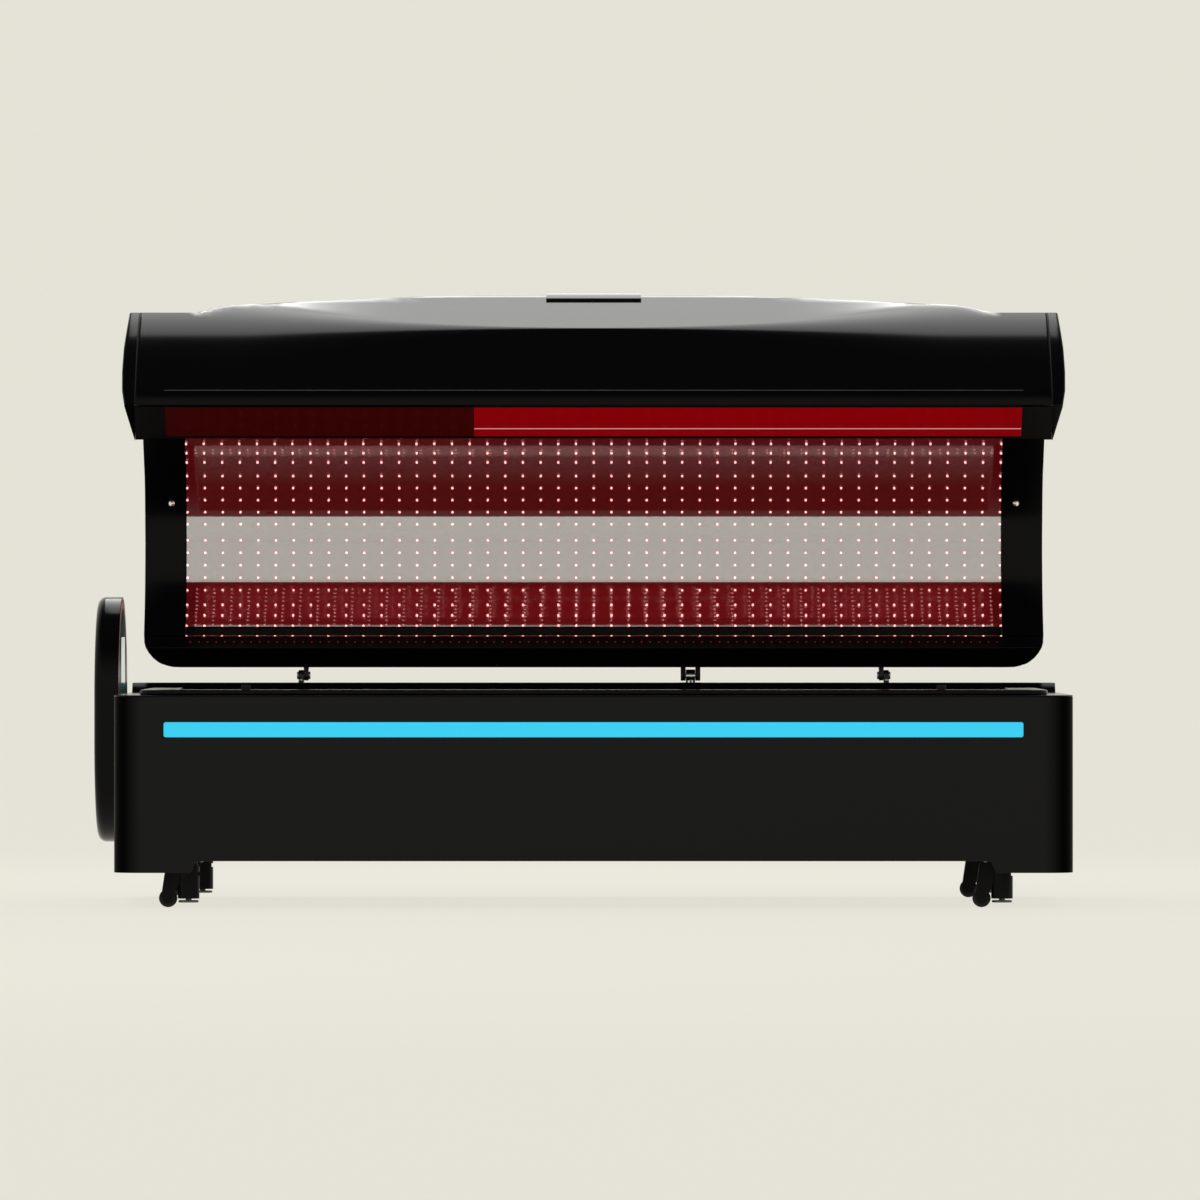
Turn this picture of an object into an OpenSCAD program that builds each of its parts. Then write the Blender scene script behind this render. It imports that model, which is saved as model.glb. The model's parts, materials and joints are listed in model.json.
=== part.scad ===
// Red light therapy bed: a wheeled base with a lit bed surface, and a hinged
// canopy that an actuator opens. Millimetres, +Z up, the front faces -Y.
// The origin is on the floor under the middle of the base.

/* [Base] */
// Length of the base
base_len = 2200; // [1900:10:2400]
// Depth of the base, front to back
base_dep = 1100; // [1040:10:1200]
// Height of the base's lower edge at its ends
skirt_z = 81; // [76:1:90]
// Height of the base's upper edge
deck_z = 488; // [440:1:520]
// Rounding of the base's corners, seen from above
corner_r = 60; // [40:1:80]
// Thickness of the base's panels
panel_t = 4; // [3:0.5:6]
// How far the middle of the skirt is raised
notch_h = 27; // [15:1:40]
// Distance from the skirt's notch to the base's ends
notch_in = 190; // [150:1:240]
// Height of the front rim of the deck
rim_h = 12; // [8:1:16]
// Height of the raised ledge behind the bed
ledge_h = 23; // [18:1:24]

/* [Light strip] */
// Length of the light strip on the front
strip_len = 1968; // [1000:1:1980]
// Height of the light strip
strip_h = 34; // [20:1:60]
// Height of the strip's middle above the floor
strip_z = 409; // [300:1:430]
// Thickness of the light strip's lens
strip_t = 5; // [3:0.5:8]

/* [Tunnel] */
// Inner radius of the canopy's lining
tunnel_r = 336; // [310:1:345]
// Thickness of the clear sheets
sheet_t = 4; // [3:0.5:6]
// Length of the lit lining
lining_len = 1940; // [1700:2:1950]
// How far the bed surface sinks in the middle
bed_sag = 80; // [50:1:110]
// Half of the bed surface's width
bed_half = 345; // [330:1:350]
// Gap between the clear sheets and the lamp boards
board_gap = 9; // [6:0.5:14]
// Thickness of a lamp board
board_t = 2; // [1.5:0.5:3]
// Thickness of the heat sink behind the boards
sink_t = 5; // [3:1:8]
// Width of one flat lamp board
board_w = 150; // [120:1:152]
// Number of lamp boards round the canopy
board_n = 7; // [5:1:7]

/* [Canopy] */
// Angle that the canopy is opened to
lid_open = 46.5; // [35:0.5:50]
// Height of the canopy's top when closed
lid_top = 1078; // [1040:1:1120]
// Distance from the middle plane to the lip's front
lip_y = 448; // [430:1:470]
// Height of the canopy's front face
face_h = 266; // [220:1:290]
// Thickness of the canopy's skin
skin_t = 4; // [3:0.5:6]
// Width of an end cap
cap_w = 32; // [26:1:40]
// Gap between the closed canopy and the ledge
lid_gap = 3; // [2:0.5:6]
// Rise of the canopy's arched top in the middle
crown_h = 28; // [10:1:40]

/* [Hinge] */
// Distance from the middle plane to the hinge axis
hinge_y = 440; // [435:1:450]
// Height of the hinge axis above the ledge
hinge_up = 17; // [16:0.5:20]
// Distance of each hinge from the middle
hinge_x = 690; // [500:1:800]
// Thickness of the hinge's ear on the base
ear_t = 12; // [8:1:16]
// Thickness of the hinge's arm on the canopy
arm_t = 11; // [8:1:16]
// Radius of the hinge's ear
ear_r = 13; // [11:0.5:14]
// Radius of the hinge pin
pin_r = 6; // [4:0.5:8]
// Running clearance of pins in their bores
run_gap = 0.06; // [0.03:0.01:0.1]

/* [Actuator] */
// Distance of the actuator from the middle
act_x = 231; // [100:1:400]
// Radius of the actuator's tube
act_r = 20; // [14:1:22]
// Radius of the actuator's rod
rod_r = 11; // [6:0.5:12]
// Radius of the actuator's pins
act_pin_r = 5; // [4:0.5:6]

/* [Console] */
// Width of the oval end console, front to back
con_dep = 476; // [400:1:520]
// Height of the oval end console
con_h = 572; // [500:1:620]
// Thickness of the oval end console
con_t = 57; // [45:1:70]
// Height of the console's lower end
con_z = 142; // [110:1:160]
// Distance of the console's middle ahead of the base's middle
con_fwd = 26; // [0:1:60]
// Rounding of the console's outer edge
con_edge = 20; // [10:1:24]
// Width of the console's lit rim
con_rim = 27; // [15:1:40]

/* [Casters] */
// Distance of the casters from the middle, along the base
caster_x = 935; // [880:1:960]
// Distance of the casters from the middle, front to back
caster_y = 440; // [380:1:450]
// Diameter of a caster's wheel
wheel_d = 42; // [36:1:44]
// Width of a caster's wheel
wheel_w = 18; // [14:1:20]
// Distance from the swivel axis to the wheel's axle
trail = 43; // [41:1:50]
// Height of the levelling foot above the floor
foot_up = 11; // [10:1:14]

/* [Hidden] */
$fn = 96;
seat = 0.3;
half_len = base_len / 2;
half_dep = base_dep / 2;
ledge_z = deck_z + ledge_h;
rim_z = deck_z + rim_h;
hinge_z = ledge_z + hinge_up;
close_z = ledge_z + lid_gap;
deck_t = panel_t;
frame_w = 40;
frame_z = skirt_z + notch_h + 4;
pan_t = 3;
skin_in = half_dep - panel_t;
end_in = half_len - panel_t;
sheet_r = tunnel_r + sheet_t;
board_r = sheet_r + board_gap;
fork_top = skirt_z + notch_h - 1;
plate_t = 5;

// A rounded polygon: each corner of the outline becomes an arc of its radius
function unit(v) = v / norm(v);
function corner_arc(a, b, c, r, n) =
    let (u = unit(a - b), w = unit(c - b), half = acos(u * w) / 2,
         m = b + unit(u + w) * r / sin(half), p = b + u * r / tan(half),
         q = b + w * r / tan(half), a0 = atan2(p.y - m.y, p.x - m.x),
         a1 = atan2(q.y - m.y, q.x - m.x), sweep = (a1 - a0 + 540) % 360 - 180)
    [for (i = [0:n]) m + r * [cos(a0 + sweep * i / n), sin(a0 + sweep * i / n)]];
function rounded(pts, radii, n = 6) = let (k = len(pts))
    [for (i = [0:k - 1])
        each (radii[i] == 0 ? [pts[i]]
            : corner_arc(pts[(i + k - 1) % k], pts[i], pts[(i + 1) % k], radii[i], n))];
// The same outline, moved inwards by d
function inset(pts, d) = let (k = len(pts)) [for (i = [0:k - 1])
    let (b = pts[i], u = unit(pts[(i + k - 1) % k] - b), w = unit(pts[(i + 1) % k] - b))
    b + unit(u + w) * d / sin(acos(u * w) / 2)];

// Side outline of the canopy when closed, from the lip round to the sill
lid_r = [6, 60, 110, 160, 190, 90, 60, 20, 3];
sill_y = hinge_y - 42;
sill_rise = 102;
lid_pts = [[-lip_y, close_z - 2], [-lip_y - 2, close_z + face_h - 6],
    [-lip_y + 112, lid_top - 42], [-lip_y + 320, lid_top + 6],
    [190, lid_top], [440, lid_top - 130], [sill_y + sill_rise, 780],
    [sill_y + sill_rise, close_z - 2 + sill_rise * tan(lid_open)], [sill_y, close_z - 2]];
cap_x = half_len - cap_w;

module along_x(length, at = 0) {
    translate([at, 0, 0]) rotate([90, 0, 90])
        linear_extrude(length, center = true) children();
}
module rod_x(r, length, at) {
    translate(at) rotate([0, 90, 0]) cylinder(r = r, h = length, center = true);
}
module box(size, at) {
    translate(at) cube(size, center = true);
}
// From the closed canopy's place to its place when opened
module opened() {
    translate([0, hinge_y, hinge_z]) rotate([-lid_open, 0, 0])
        translate([0, -hinge_y, -hinge_z]) children();
}

// Base: a skin of four panels on a welded frame
module plan(grow) {
    polygon(rounded([[-half_len - grow, -half_dep - grow], [half_len + grow, -half_dep - grow],
        [half_len + grow, half_dep + grow], [-half_len - grow, half_dep + grow]],
        [for (i = [0:3]) corner_r + grow]));
}
split_y = half_dep - corner_r - 20;
module skin() {
    difference() {
        translate([0, 0, skirt_z]) linear_extrude(deck_z - deck_t - skirt_z)
            difference() { plan(0); plan(-panel_t); }
        skirt_notch();
    }
}
module skirt_notch() {
    top = half_len - notch_in;
    rotate([90, 0, 0]) linear_extrude(base_dep + 2, center = true)
        polygon([[-top - 14, skirt_z - 1], [-top, skirt_z + notch_h],
            [top, skirt_z + notch_h], [top + 14, skirt_z - 1]]);
}
module front_panel() {
    color("#141414") difference() {
        intersection() {
            skin();
            box([base_len + 2, half_dep - split_y, 2 * deck_z], [0, -(half_dep + split_y) / 2, 0]);
        }
        strip_body(0.2, strip_t + 6);
    }
}
inlet_x = -700;
module rear_panel() {
    color("#161616") difference() {
        intersection() {
            skin();
            box([base_len + 2, half_dep - split_y, 2 * deck_z], [0, (half_dep + split_y) / 2, 0]);
        }
        for (s = [-1, 1]) fan_grille(s * fan_x);
        box([inlet_w - 4, 30, inlet_h - 4], [inlet_x, half_dep, inlet_z]);
    }
}
module end_skin(s) {
    intersection() {
        skin();
        box([corner_r + 20, 2 * split_y, 2 * deck_z], [s * (half_len - corner_r / 2), 0, 0]);
    }
}
module left_end_panel() { color("#141414") end_skin(-1); }
module right_end_panel() { color("#141414") end_skin(1); }

rail_x = end_in - frame_w / 2 - 1;
rail_y = skin_in - frame_w / 2 - 1;
top_rail_z = deck_z - deck_t - frame_w / 2;
low_rail_z = frame_z + frame_w / 2;
post_x = end_in - corner_r;
post_y = skin_in - corner_r;
module base_frame() {
    color("#3a3a3c") {
        for (z = [low_rail_z, top_rail_z], s = [-1, 1]) difference() {
            union() {
                box([2 * post_x, frame_w, frame_w], [0, s * rail_y, z]);
                box([frame_w, 2 * post_y, frame_w], [s * rail_x, 0, z]);
            }
            box([90, 90, frame_w + 2], [act_x, act_y, top_rail_z]);
        }
        for (sx = [-1, 1], sy = [-1, 1]) {
            box([frame_w, frame_w, top_rail_z - low_rail_z + frame_w],
                [sx * (post_x - frame_w / 2), sy * rail_y, (top_rail_z + low_rail_z) / 2]);
            for (z = [low_rail_z, top_rail_z])
                box([rail_x - post_x + 1.5 * frame_w, frame_w, frame_w],
                    [sx * (post_x + rail_x - frame_w / 2) / 2, sy * (post_y - frame_w / 2), z]);
            for (z = [low_rail_z, top_rail_z]) box([frame_w, skin_in - post_y + 20, frame_w],
                [sx * (post_x - frame_w / 2), sy * ((skin_in + post_y) / 2 - 11), z]);
        }
        for (x = [-caster_x, -360, 360, caster_x])
            box([frame_w, 2 * rail_y, frame_w], [x, 0, low_rail_z]);
    }
}
module bottom_pan() {
    color("#2a2a2c") difference() {
        box([2 * (rail_x - frame_w), 2 * (rail_y - frame_w / 2 - 10), pan_t],
            [0, 0, frame_z + frame_w + pan_t / 2]);
        for (x = [-520, 0, 520], i = [-4:4])
            box([120, 8, 10], [x, i * 22, frame_z + frame_w]);
    }
}

// Deck: a plate with the bed's opening, a rim in front and a ledge behind
act_y = half_dep - 42;
module act_slot(h) {
    box([2 * rod_r + 30, 56, h], [act_x, act_y, deck_z]);
}
module bed_hole(h) {
    box([lining_len + 2 * seat, 2 * (bed_half + seat), 2 * h], [0, 0, deck_z]);
}
module deck_plate() {
    color("#101010") difference() {
        union() {
            translate([0, 0, deck_z - deck_t]) linear_extrude(deck_t) plan(0);
            for (s = [-1, 1]) box([panel_t, 2 * bed_half + 30, 100],
                [s * (lining_len / 2 + seat + panel_t / 2), 0, deck_z - 50]);
        }
        bed_hole(110);
        act_slot(90);
    }
}
module front_rim() {
    color("#0e0e0e") difference() {
        translate([0, 0, deck_z]) linear_extrude(rim_h)
            polygon(rounded([[-half_len + 57, -half_dep + 40], [half_len - 57, -half_dep + 40],
                [half_len - 57, bed_half + seat], [-half_len + 57, bed_half + seat]],
                [46, 46, 0, 0]));
        bed_hole(60);
    }
}
module rear_ledge() {
    color("#0e0e0e") difference() {
        along_x(base_len - 10) polygon([[bed_half + seat, deck_z], [bed_half + seat, deck_z + 3],
            [bed_half + 20, ledge_z - 1], [bed_half + 23, ledge_z], [half_dep - 9, ledge_z],
            [half_dep - 6, ledge_z - 3], [half_dep - 6, deck_z]]);
        act_slot(90);
        for (sx = [-1, 1]) translate([sx * half_len, half_dep - 6, deck_z - 1]) rotate(45)
            cube([50, 50, 80], center = true);
    }
}
module strip_body(grow, depth) {
    translate([0, -half_dep + depth / 2 - 1, strip_z]) rotate([90, 0, 0])
        linear_extrude(depth, center = true)
        polygon(rounded([[-strip_len / 2 - grow, -strip_h / 2 - grow],
            [strip_len / 2 + grow, -strip_h / 2 - grow], [strip_len / 2 + grow, strip_h / 2 + grow],
            [-strip_len / 2 - grow, strip_h / 2 + grow]], [5, 5, 5, 5]));
}
module light_strip_lens() {
    color("#2fd3f5") strip_body(0, strip_t + 1);
    color("#2fd3f5") box([strip_len + 20, 3, strip_h + 14],
        [0, -half_dep + panel_t + 1.5, strip_z]);
}

// Bed surface: a clear sheet that sinks in the middle, on lamp boards and a heat sink
bed_r = (bed_half * bed_half + bed_sag * bed_sag) / (2 * bed_sag);
bed_edge_z = deck_z + 4;
module bed_arc(depth, thick, half) {
    along_x(lining_len) intersection() {
        translate([0, bed_edge_z - bed_sag + bed_r]) difference() {
            circle(r = bed_r + depth + thick, $fn = 256);
            circle(r = bed_r + depth, $fn = 256);
        }
        translate([-half, bed_edge_z - bed_sag - 60]) square([2 * half, bed_sag + 62]);
    }
}
module bed_sheet() { color("#b8b8c0", 0.6) bed_arc(0, sheet_t, bed_half); }
module bed_lamp_boards() {
    color("#6a0a10") bed_arc(sheet_t + board_gap, board_t, bed_half - 14);
}
module bed_heat_sink() {
    color("#8d9094") {
        bed_arc(sheet_t + board_gap + board_t, sink_t, bed_half - 14);
        for (i = [-6:6]) if (i != 0) let (y = i * 48, z = bed_edge_z - bed_sag + bed_r
            - sqrt(pow(bed_r + sheet_t + board_gap + board_t + sink_t - 1, 2) - y * y))
            box([lining_len - 40, 3, 24], [0, y, z - 12]);
        for (sx = [-1, 1], sy = [-1, 1])
            box([30, skin_in - frame_w - bed_half + 23, 12],
                [sx * (lining_len / 2 - 60), sy * (skin_in - frame_w + bed_half - 25) / 2,
                 bed_edge_z - 36]);
    }
}
module rim_buffers() {
    color("#1c1c1c") for (x = [-800, 800])
        translate([x, -lip_y + 30, rim_z]) cylinder(r = 11, h = close_z - rim_z - 3, $fn = 32);
}

// Works inside the base
tray_z = frame_z + frame_w + pan_t;
module power_supplies() {
    color("#a9abad") for (x = [-560, -330, 330, 560])
        box([180, 110, 56], [x, -300, tray_z + 28]);
}
module control_box() {
    color("#caccce") box([220, 150, 70], [0, -300, tray_z + 35]);
}
fan_x = 480;
fan_z = 300;
fan_r = 56;
module fan_grille(x) {
    translate([x, half_dep - panel_t / 2, fan_z]) rotate([90, 0, 0]) {
        for (a = [0:45:315], r = [22, 40]) rotate(a) translate([r, 0, 0])
            cylinder(r = 5.5, h = 12, center = true, $fn = 16);
    }
}
module fan_housings() {
    color("#1a1a1a") for (s = [-1, 1]) translate([s * fan_x, skin_in - 15, fan_z])
        rotate([90, 0, 0]) {
            linear_extrude(30, center = true) difference() {
                square(120, center = true);
                circle(r = fan_r);
            }
            translate([0, 0, 9.5]) linear_extrude(5) for (a = [45, 135]) rotate(a)
                square([2 * fan_r + 8, 9], center = true);
            translate([0, 0, -4]) cylinder(r = 3, h = 16);
        }
}
module fan_rotor(s) {
    color("#2b2b2b") translate([s * fan_x, skin_in - 13, fan_z]) rotate([90, 0, 0])
        difference() {
            union() {
                cylinder(r = 18, h = 14, center = true, $fn = 48);
                for (a = [0:51.4:359]) rotate(a) translate([34, 0, 0]) rotate([28, 0, 0])
                    cube([36, 18, 2], center = true);
            }
            translate([0, 0, -3]) cylinder(r = 3 + run_gap, h = 30);
        }
}
module fan_rotor_left() { fan_rotor(-1); }
module fan_rotor_right() { fan_rotor(1); }
inlet_w = 58;
inlet_h = 66;
inlet_z = 190;
module power_inlet() {
    color("#202020") difference() {
        union() {
            box([inlet_w, 4, inlet_h], [inlet_x, half_dep + 2, inlet_z]);
            box([inlet_w - 5, 40, inlet_h - 5], [inlet_x, half_dep - 20, inlet_z]);
        }
        box([32, 22, 24], [inlet_x, half_dep, inlet_z - 14]);
        box([30, 30, 22], [inlet_x, half_dep + 2, inlet_z + 16]);
    }
    color("#c9b26a") for (x = [-9, 0, 9])
        box([2, 16, 5], [inlet_x + x, half_dep - 6, inlet_z - 14]);
}
module power_rocker() {
    color("#0a0a0a") translate([inlet_x, half_dep - 2, inlet_z + 16]) intersection() {
        rotate([-8, 0, 0]) cube([29.4, 14, 19], center = true);
        rotate([0, 90, 0]) cylinder(r = 10.4, h = 30, center = true);
    }
}

// Canopy: a hollow shell, drawn where it is when closed
tunnel_z = close_z + 2;
crown_top = 1430;
shoulder_x = 850;
// Height of the opened canopy's outline at x, seen from the front
function crown(x) = let (a = abs(x))
    a < shoulder_x ? crown_top - crown_h * pow(a / shoulder_x, 2)
    : a < shoulder_x + 130 ? crown_top - crown_h - 13 * (1 - cos(180 * (a - shoulder_x) / 130))
    : a < cap_x + 6 ? crown_top - crown_h - 26
    : crown_top - crown_h - 26 - 30 * pow((a - cap_x - 6) / (cap_w - 6), 2);
crown_x = concat([for (i = [0:12]) shoulder_x * i / 12], [for (i = [1:6]) shoulder_x + 130 * i / 6],
    [for (i = [0:5]) cap_x + 6 + (cap_w - 6) * i / 5]);
foot_in = 80;
foot_x = half_len - 30 - foot_in;
foot_z = hinge_z + 18 + foot_in;
module crown_cut(d) {
    half = [for (x = crown_x) [x, crown(x) - d]];
    k = len(half);
    pts = concat([[-half_len - 1, 900]], [for (i = [k - 1:-1:0]) [-half[i].x, half[i].y]],
        [for (i = [1:k - 1]) half[i]], [[half_len + 1, 900]],
        [for (i = [0:8]) [foot_x + (foot_in - d) * cos(i * 11.25), foot_z - (foot_in - d) * sin(i * 11.25)]],
        [for (i = [8:-1:0]) [-foot_x - (foot_in - d) * cos(i * 11.25),
            foot_z - (foot_in - d) * sin(i * 11.25)]]);
    translate([0, hinge_y, hinge_z]) rotate([lid_open, 0, 0])
        translate([0, -hinge_y, -hinge_z]) rotate([90, 0, 0])
        linear_extrude(3 * base_dep, center = true) polygon(pts);
}
module lid_outline(d) { polygon(rounded(inset(lid_pts, d), [for (r = lid_r) max(r - d, 1)])); }
module canopy_shell() {
    color("#0b0b0c") opened() difference() {
        intersection() { along_x(2 * cap_x) lid_outline(0); crown_cut(0); }
        intersection() { along_x(2 * cap_x + 2) lid_outline(skin_t); crown_cut(skin_t); }
        box([2 * cap_x + 2, lip_y + sill_y - 14, 60],
            [0, (sill_y - lip_y) / 2, sill_up + 0.5 - 30]);
    }
}
// Each end cap tapers towards the back and at its lower edge
module canopy_cap(s) {
    color("#0b0b0c") opened() intersection() {
        difference() {
            along_x(cap_w, s * (cap_x + cap_w / 2)) lid_outline(0);
            translate([0, 0, tunnel_z]) rod_x(tunnel_r - 2, 2 * base_len, [0, 0, 0]);
            box([2 * base_len, 2 * (tunnel_r - 2), 60], [0, 0, tunnel_z - 30]);
        }
        crown_cut(0);
        linear_extrude(1500) polygon([[0, -600], [s * half_len, -600], [s * half_len, -250],
            [s * (half_len - 30), -50], [s * (half_len - 30), 700], [0, 700]]);
        rotate([90, 0, 0]) linear_extrude(1500, center = true) polygon([[0, 400],
            [s * (half_len - 34), 400], [s * (half_len - 34), close_z - 2],
            [s * half_len, close_z + 64], [s * half_len, 1500], [0, 1500]]);
    }
}
module canopy_cap_left() { canopy_cap(-1); }
module canopy_cap_right() { canopy_cap(1); }
rib_in = sqrt(pow(board_r + board_t, 2) + pow(board_w / 2, 2)) + 0.2;
module canopy_ribs() {
    color("#55585c") opened() for (x = [-cap_x + 3, -arm_at, -act_x, act_x, arm_at, cap_x - 3])
        intersection() {
            difference() {
                along_x(4, x) lid_outline(skin_t);
                translate([0, 0, tunnel_z]) rod_x(rib_in, 2 * base_len, [0, 0, 0]);
                box([2 * base_len, 2 * base_dep, 60], [0, 0, close_z - 26 + skin_t]);
            }
            crown_cut(skin_t);
        }
}
lip_in = tunnel_r + 4;
lens_half = 996;
lens_split = -278;
module lip_lens(x0, x1, lift) {
    translate([x0, -lip_y + 10, close_z - 2]) cube([x1 - x0, lip_y - lip_in - 18, 3 + lift]);
}
module canopy_lip() {
    color("#0d0d0e") opened() difference() {
        along_x(2 * cap_x - 1) polygon([[-lip_y + 7.2, close_z - 2], [-lip_in - 0.2, close_z - 2],
            [-lip_in - 0.2, close_z + 36], [-lip_in - 4, close_z + 36],
            [-lip_in - 4, close_z + 4], [-lip_y + 7.2, close_z + 4]]);
        lip_lens(-lens_half - 0.2, lens_half + 0.2, 0.01);
    }
}
module lip_lens_left() { color("#3c0507") opened() lip_lens(-lens_half, lens_split, 0); }
module lip_lens_right() { color("#8c0d12") opened() lip_lens(lens_split, lens_half, 0); }
arc_end = 83.5;
sill_in = tunnel_r * sin(arc_end);
sill_up = tunnel_z + (tunnel_r - 3) * cos(arc_end) - 0.2;
module canopy_sill() {
    color("#0d0d0e") opened() intersection() {
        along_x(2 * cap_x - 1) polygon([[sill_in, close_z - 2],
        [sill_y - 7.2, close_z - 2], [sill_y - 7.2, close_z + 4], [lip_in + 8, close_z + 4],
        [lip_in + 8, sill_up], [sill_in, sill_up]]);
        crown_cut(0);
    }
}
module tunnel_arc(r0, r1, length, at, first, last) {
    translate([0, 0, tunnel_z]) along_x(length, at) difference() {
        circle(r = r1, $fn = 256);
        circle(r = r0, $fn = 256);
        polygon([[0, 0], 900 * [-sin(first), cos(first)], [-900, -900], [900, -900],
            900 * [sin(last), cos(last)]]);
    }
}
module canopy_sheet() {
    color("#b02028", 0.6) opened()
        tunnel_arc(tunnel_r, sheet_r, lining_len, 0, 90, arc_end);
}
module canopy_end_rings() {
    ring_w = cap_x - lining_len / 2;
    color("#101011") opened() for (s = [-1, 1]) difference() {
        intersection() {
            crown_cut(skin_t + seat);
            tunnel_arc(tunnel_r - 3, sheet_r, ring_w, s * (cap_x - ring_w / 2), 90, arc_end);
        }
        stud_place(s) cylinder(r = 4, h = 30, center = true, $fn = 32);
    }
}
stud_a = 26;
module stud_place(s) {
    translate([s * 1005, 0, tunnel_z]) rotate([-stud_a, 0, 0])
        translate([0, 0, tunnel_r - 3.2]) children();
}
module ring_studs() {
    color("#d8d8da") opened() for (s = [-1, 1]) stud_place(s) {
        cylinder(r = 3.9, h = 10, center = false, $fn = 32);
        translate([0, 0, -3]) cylinder(r = 9, h = 3, $fn = 48);
        intersection() {
            translate([0, 0, -3]) sphere(r = 9, $fn = 48);
            translate([0, 0, -9]) cube([20, 20, 12], center = true);
        }
    }
}
module canopy_lamp_boards() {
    color("#7a0c12") opened() for (i = [0:board_n - 1])
        let (a = (i - (board_n - 1) / 2) * 180 / board_n)
        translate([0, 0, tunnel_z]) rotate([-a, 0, 0])
        box([lining_len, board_w, board_t], [0, 0, board_r + board_t / 2]);
}
handle_y = 245;
module top_handle() {
    color("#141414") difference() {
        intersection() {
            box([224, 90, 80], [0, handle_y, crown_top - 20]);
            opened() intersection() { along_x(240) lid_outline(-5); crown_cut(-5); }
        }
        opened() intersection() { along_x(250) lid_outline(0); crown_cut(0); }
    }
}

// Hinges: an ear on the base beside an arm on the canopy, with one pin through both
ear_at = hinge_x + ear_t / 2 + 0.25;
arm_at = hinge_x - arm_t / 2 - 0.25;
module hinge_ears() {
    color("#1b1b1d") for (s = [-1, 1]) difference() {
        union() {
            rod_x(ear_r, ear_t, [s * ear_at, hinge_y, hinge_z]);
            box([ear_t, 2 * ear_r, hinge_z - ledge_z], [s * ear_at, hinge_y,
                (hinge_z + ledge_z) / 2]);
            box([ear_t, 60, 5], [s * ear_at, hinge_y, ledge_z + 2.5]);
        }
        rod_x(pin_r, 60, [s * ear_at, hinge_y, hinge_z]);
    }
}
module hinge_pins() {
    color("#9a9da1") for (s = [-1, 1]) {
        rod_x(pin_r, ear_t + arm_t + 1.1,
            [s * (hinge_x - 0.3 + (ear_t - arm_t) / 2), hinge_y, hinge_z]);
        for (e = [-arm_t - 0.25 - 2.3, ear_t + 0.25 + 2])
            rod_x(pin_r + 3, 4, [s * (hinge_x + e), hinge_y, hinge_z]);
    }
}
// Distance from the hinge axis to the canopy's slanted lower face
face_off = (hinge_y - sill_y) * sin(lid_open) - (hinge_z - close_z + 2) * cos(lid_open);
module hinge_arms() {
    color("#1b1b1d") for (s = [-1, 1]) difference() {
        union() {
            rod_x(ear_r - 1, arm_t, [s * arm_at, hinge_y, hinge_z]);
            box([arm_t, 2 * ear_r - 2, face_off], [s * arm_at, hinge_y, hinge_z + face_off / 2]);
            box([arm_t, 70, 5], [s * arm_at, hinge_y + 6, hinge_z + face_off - 2.5]);
        }
        rod_x(pin_r + run_gap, 60, [s * arm_at, hinge_y, hinge_z]);
    }
}

// Actuator: its tube tilts on a foot, and its rod ends in an eye on the canopy's bracket
foot_at = [act_y, tray_z + 30];
eye_at = [hinge_y + 82, hinge_z - 1];
act_len = norm(eye_at - foot_at);
act_tilt = atan2(foot_at.x - eye_at.x, eye_at.y - foot_at.y);
tube_len = 215;
eye_hole = 11;
module along_act() {
    translate([act_x, foot_at.x, foot_at.y]) rotate([act_tilt, 0, 0]) children();
}
module actuator_foot() {
    color("#2c2c2e") {
        for (s = [-1, 1]) {
            box([8, 36, 40], [act_x + s * 14.3, foot_at.x, foot_at.y - 10]);
        }
        box([60, 50, 6], [act_x, foot_at.x - 8, foot_at.y - 27]);
        box([60, 26, pan_t], [act_x, foot_at.x + 4, tray_z - pan_t / 2]);
        rod_x(act_pin_r, 37, [act_x, foot_at.x, foot_at.y]);
    }
}
module actuator_tube() {
    color("#18181a") along_act() difference() {
        union() {
            rod_x(12, 20, [0, 0, 0]);
            translate([0, 0, 10]) cylinder(r = 9, h = 20);
            translate([0, 0, 18]) cylinder(r = act_r, h = tube_len - 18);
        }
        rod_x(act_pin_r + run_gap, 60, [0, 0, 0]);
        translate([0, 0, 60]) cylinder(r = rod_r + run_gap, h = tube_len);
    }
}
module actuator_rod() {
    color("#e0e2e4") along_act() difference() {
        union() {
            translate([0, 0, 95]) cylinder(r = rod_r, h = act_len - 95 - eye_hole - 1);
            rod_x(eye_hole + 4, 22, [0, 0, act_len]);
        }
        rod_x(eye_hole, 60, [0, 0, act_len]);
    }
}
module actuator_bracket() {
    lift = hinge_z + face_off - eye_at.y;
    color("#1b1b1d") {
        for (s = [-1, 1]) {
            rod_x(12, 12, [act_x + s * 17.5, eye_at.x, eye_at.y]);
            box([12, 24, lift], [act_x + s * 17.5, eye_at.x, eye_at.y + lift / 2]);
        }
        rod_x(act_pin_r, 47, [act_x, eye_at.x, eye_at.y]);
    }
}

// Oval console on the left end
con_y = -con_fwd;
con_mid = con_z + con_h / 2;
con_straight = con_h - con_dep;
module at_console(x) {
    translate([-half_len - x, con_y, con_mid]) rotate([90, 0, -90]) children();
}
module oval(r, thick, x) {
    at_console(x) linear_extrude(thick) {
        for (s = [-1, 1]) translate([0, s * con_straight / 2]) circle(r = r, $fn = 192);
        square([2 * r, con_straight], center = true);
    }
}
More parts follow.
